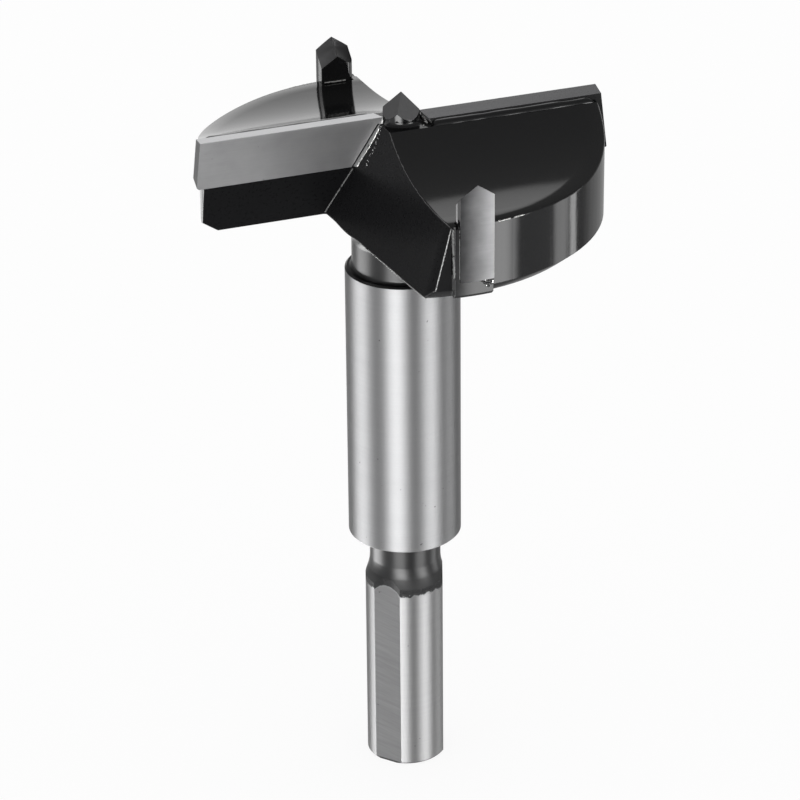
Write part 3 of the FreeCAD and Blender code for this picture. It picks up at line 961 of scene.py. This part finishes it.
# %% Seams round the spurs
SLOT_EDGE = [
    (-2.86, -23.94, 82.55), (-3.20, -23.90, 81.10), (-3.55, -23.85, 79.60),
    (-3.91, -23.79, 78.10), (-4.27, -23.73, 76.60), (-4.61, -23.67, 75.15),
]
SLOT_SEAM = [
    (-2.62, -24.10, 82.70), (-2.66, -24.14, 81.50), (-2.66, -24.26, 79.70),
    (-2.68, -24.52, 78.20), (-2.68, -24.54, 76.60),
]
FINE_SEAM = [
    (-2.10, -24.40, 83.00), (-2.13, -24.78, 82.60), (-2.14, -24.80, 80.90),
    (-2.14, -24.80, 78.50), (-2.14, -24.80, 76.50),
]
WEB_EDGE = [
    (-6.93, -4.5, 73.39), (-6.68, -7.2, 73.39), (-6.33, -10.7, 73.39), (-6.00, -14.1, 73.39),
    (-5.68, -17.6, 73.39), (-5.45, -19.9, 73.39), (-5.17, -21.9, 73.40),
]
RIM_CHIPS = [
    (2.90, -23.87, 82.62), (4.00, -23.71, 82.62), (5.20, -23.47, 82.62), (6.40, -23.17, 82.62),
]
SPUR_FOOT = [(1.80, -22.70, 82.92), (0.40, -22.69, 82.88), (-1.05, -22.70, 82.90)]
FLUX = [
    (0.55, -24.80, 75.98, 0.13), (0.85, -24.80, 75.72, 0.20), (1.15, -24.78, 75.45, 0.26),
    (1.10, -24.80, 75.95, 0.18), (1.45, -24.76, 75.75, 0.25), (1.75, -24.74, 75.50, 0.22),
    (1.80, -24.74, 75.95, 0.20), (1.40, -24.76, 75.20, 0.17),
]
FLUX_DROPS = [
    (1.07, -24.97, 75.32, 0.07), (1.86, -24.90, 75.60, 0.10), (1.88, -24.90, 75.78, 0.09),
    (0.95, -24.96, 76.06, 0.06),
]
for side, turned in (("front", False), ("back", True)):
    lay_seam(f"slot_edge_{side}", SLOT_EDGE, 0.06, FILED_SOLDER, 0.7, turned)
    lay_seam(f"slot_seam_{side}", SLOT_SEAM, 0.19, GREY_SOLDER, 0.4, turned)
    lay_seam(f"fine_seam_{side}", FINE_SEAM, 0.06, GREY_SOLDER, 0.4, turned)
    lay_seam(f"web_edge_{side}", WEB_EDGE, 0.07, FILED_SOLDER, 0.5, turned)
    lay_seam(f"rim_chips_{side}", RIM_CHIPS, 0.08, SOLDER, 0.7, turned)
    lay_seam(f"spur_foot_{side}", SPUR_FOOT, 0.13, SOLDER, 0.3, turned)
    lay_drops(f"burnt_flux_{side}", FLUX, ENAMEL, turned)
    lay_drops(f"flux_drops_{side}", FLUX_DROPS, SOLDER, turned)
print("pieces laid in all:", len(LAID))

# %% [markdown]
# ## The studio
# The photograph was taken on white, in a tent with lamps behind its cloth. A wide pale floor
# shows the bit's soft shadow. The camera sees the floor and the backdrop as plain white. The
# floor is hidden from the metal, so that every reflection comes from the tent alone.

# %% Floor
PALE = 0.88
WHITE = (1.0, 1.0, 1.0, 1.0)


def make_floor():
    bpy.ops.mesh.primitive_circle_add(vertices=96, radius=3.0, fill_type="NGON", location=(0, 0, 0))
    floor = bpy.context.object
    floor.name = "floor"
    material = bpy.data.materials.new("pale_floor")
    material.use_nodes = True
    tree = material.node_tree
    tree.nodes.remove(tree.nodes["Principled BSDF"])
    path = node(tree, "LightPath").outputs
    seen = math_node(tree, "MAXIMUM", path["Is Camera Ray"], path["Is Glossy Ray"])
    seen = math_node(tree, "MAXIMUM", seen, path["Is Transmission Ray"])
    paint = node(tree, "BsdfDiffuse")
    paint.inputs["Color"].default_value = (*grey(PALE), 1.0)
    glow = node(tree, "Emission")
    glow.inputs["Color"].default_value = WHITE
    mixed = node(tree, "MixShader")
    feed(tree, mixed.inputs[0], math_node(tree, "MULTIPLY", seen, PALE))
    feed(tree, mixed.inputs[1], paint.outputs[0])
    feed(tree, mixed.inputs[2], glow.outputs[0])
    feed(tree, tree.nodes["Material Output"].inputs["Surface"], mixed.outputs[0])
    floor.data.materials.append(material)
    floor.visible_glossy = False
    floor.visible_diffuse = False
    floor.visible_shadow = False
    print("floor:", material.name, "on", floor.name)


make_floor()

# %% [markdown]
# The tent is built into the world. Every lamp in it is one tall strip of cloth lit from behind, so
# a strip is a patch of directions: a compass bearing with a width, and a lowest and a highest
# angle. Lamps on stands would do as well, but a patch stays at the same bearing for every point
# of the bit, which makes its stripe easy to place. One small group draws such a patch.

# %% One lit strip of the tent
def build_lit_strip():
    group, given, result = start_group(
        "lit_strip",
        [
            ("Direction", "Vector", None),
            ("Bearing", "Vector", (0.0, -1.0, 0.0)),
            ("Edge", "Float", 0.9),
            ("Core", "Float", 0.97),
            ("Low", "Float", -0.8),
            ("High", "Float", 0.2),
            ("Low Fade", "Float", 0.15),
            ("High Fade", "Float", 0.15),
            ("Level", "Float", 1.0),
        ],
        [("Light", "Float")],
    )
    flat = node(group, "VectorMath", operation="MULTIPLY")
    flat.inputs[1].default_value = (1.0, 1.0, 0.0)
    feed(group, flat.inputs[0], given["Direction"])
    level = node(group, "VectorMath", operation="NORMALIZE")
    feed(group, level.inputs[0], flat.outputs[0])
    nearness = node(group, "VectorMath", operation="DOT_PRODUCT")
    feed(group, nearness.inputs[0], level.outputs[0])
    feed(group, nearness.inputs[1], given["Bearing"])
    across = node(group, "MapRange", interpolation_type="SMOOTHSTEP")
    feed(group, across.inputs["Value"], nearness.outputs["Value"])
    feed(group, across.inputs["From Min"], given["Edge"])
    feed(group, across.inputs["From Max"], given["Core"])
    up = split_axes(group, given["Direction"])["Z"]
    masks = []
    for edge, way in (("Low", "SUBTRACT"), ("High", "ADD")):
        reach = node(group, "MapRange", interpolation_type="SMOOTHSTEP")
        feed(group, reach.inputs["Value"], up)
        faded = math_node(group, way, given[edge], given[f"{edge} Fade"])
        feed(group, reach.inputs["From Min"], faded)
        feed(group, reach.inputs["From Max"], given[edge])
        masks.append(reach.outputs[0])
    both = math_node(group, "MULTIPLY", *masks)
    patch = math_node(group, "MULTIPLY", across.outputs[0], both)
    feed(group, result["Light"], math_node(group, "MULTIPLY", patch, given["Level"]))
    return group


LIT_STRIP = build_lit_strip()
print("group:", LIT_STRIP.name, [item.name for item in LIT_STRIP.interface.items_tree])

# %% [markdown]
# Bearings and widths of the strips were read from the stripes on the shank and the necks, which
# mirror the tent like a curved looking-glass, and the levels from how bright each stripe is. The
# backdrop is one more patch, wide and sharp at its borders. All angles are in degrees.

# %% The strips of this tent
# bearing, half width, soft border, lowest angle and its fade, highest angle and its fade, level
STRIPS = [
    (-128, 13, 11, -26, 8, -12, 4, 8.0),
    (-120, 13, 10, -12, 4, 0, 6, 8.5),
    (-60, 14, 7, -30, 6, -13, 4, 4.9),
    (-53, 12, 7, -13, 4, 0, 5, 5.6),
    (-8, 5, 4, -38, 6, -14, 4, 1.9),
    (3.5, 2.2, 2, -38, 6, -14, 4, 3.0),
    (147, 16, 12, -50, 8, -28, 8, 8.0),
    (50, 14, 6, -14, 4, 12, 8, 0.5),
    (114, 14, 8, -50, 8, -10, 8, 0.35),
    (45, 24, 8, -45, 6, 0, 8, 0.22),
    (-168, 20, 14, -38, 6, -14, 5, 0.5),
    (-28, 16, 8, -38, 6, -14, 5, 0.2),
    (-110, 70, 40, -8, 10, 30, 12, 0.25),
]
BACKDROP = (79, 14, 1.5, -50, 10, 32, 3, 0.8)
BACKDROP_LEVEL = BACKDROP[-1]
BASE_LEVEL = 0.2
print("strips of light:", len(STRIPS))

# %% [markdown]
# The world adds the strips up over a faint base level. The camera sees plain white everywhere,
# matt surfaces get plain white light, and metal and enamel see the strips, and plain white where
# the backdrop hangs behind the bit. Light Path tells the world who is looking.

# %% World
def bearing(degrees):
    return (math.cos(math.radians(degrees)), math.sin(math.radians(degrees)), 0.0)


def height(degrees):
    return math.sin(math.radians(degrees))


def place_strip(tree, direction, angle, half, soft, low, low_fade, high, high_fade, level):
    strip = node(tree, "Group", node_tree=LIT_STRIP)
    feed(tree, strip.inputs["Direction"], direction)
    strip.inputs["Bearing"].default_value = bearing(angle)
    strip.inputs["Edge"].default_value = math.cos(math.radians(half + soft))
    strip.inputs["Core"].default_value = math.cos(math.radians(max(half - soft, 0)))
    strip.inputs["Low"].default_value = height(low)
    strip.inputs["High"].default_value = height(high)
    strip.inputs["Low Fade"].default_value = height(low) - height(low - low_fade)
    strip.inputs["High Fade"].default_value = height(high + high_fade) - height(high)
    strip.inputs["Level"].default_value = level
    return strip.outputs[0]


def make_world():
    world = bpy.data.worlds.new("white_tent")
    bpy.context.scene.world = world
    world.use_nodes = True
    tree = world.node_tree
    tree.nodes.clear()
    direction = node(tree, "TexCoord").outputs["Generated"]
    behind = place_strip(tree, direction, *BACKDROP)
    total = math_node(tree, "ADD", behind, BASE_LEVEL)
    for strip in STRIPS:
        total = math_node(tree, "ADD", total, place_strip(tree, direction, *strip))
    path = node(tree, "LightPath").outputs
    mirrored = math_node(tree, "MAXIMUM", path["Is Glossy Ray"], path["Is Transmission Ray"])
    hung = math_node(tree, "DIVIDE", behind, BACKDROP_LEVEL)
    mirrored = math_node(tree, "MULTIPLY", mirrored, hung)
    plain = math_node(tree, "MAXIMUM", path["Is Camera Ray"], path["Is Diffuse Ray"])
    white = math_node(tree, "MAXIMUM", plain, mirrored)
    backdrop = node(tree, "Background")
    backdrop.inputs["Color"].default_value = WHITE
    tent = node(tree, "Background")
    tent.inputs["Color"].default_value = WHITE
    feed(tree, tent.inputs["Strength"], total)
    mixed = node(tree, "MixShader")
    feed(tree, mixed.inputs[0], white)
    feed(tree, mixed.inputs[1], tent.outputs[0])
    feed(tree, mixed.inputs[2], backdrop.outputs[0])
    feed(tree, node(tree, "OutputWorld").inputs["Surface"], mixed.outputs[0])
    print("world:", world.name, "with", len(tree.nodes), "nodes")


make_world()

# %% [markdown]
# ## The camera
# The camera stands where the photographer's did: nearly half a metre from the bit, a little to
# the left and well above it, with a long lens, so that the shank hardly narrows. Its place and
# its lean were worked out from the corners of the blades, the tips of the spurs and the rings of
# the shank. Two directions are enough to turn it, because the third stands square on both.
# "Standard" shows the colours as they are written.

# %% Camera
CAMERA_PLACE = mm(-142.591, -390.597, 256.606)
CAMERA_RIGHT = Vector((0.93874932, -0.34447427, -0.00933812))
CAMERA_UP = Vector((0.16183564, 0.41678087, 0.89448473))


def make_camera():
    data = bpy.data.cameras.new("camera")
    camera = bpy.data.objects.new("camera", data)
    bpy.context.scene.collection.objects.link(camera)
    axes = (CAMERA_RIGHT, CAMERA_UP, CAMERA_RIGHT.cross(CAMERA_UP))
    matrix = Matrix(axes).transposed().to_4x4()
    matrix.translation = CAMERA_PLACE
    camera.matrix_world = matrix
    data.sensor_width = 36.0
    data.lens = 170.389
    data.shift_x = 0.007933
    data.shift_y = 0.004772
    data.clip_start = 0.01
    bpy.context.scene.camera = camera
    print("camera at", [round(value, 4) for value in CAMERA_PLACE])


make_camera()
bpy.context.scene.view_settings.view_transform = "Standard"
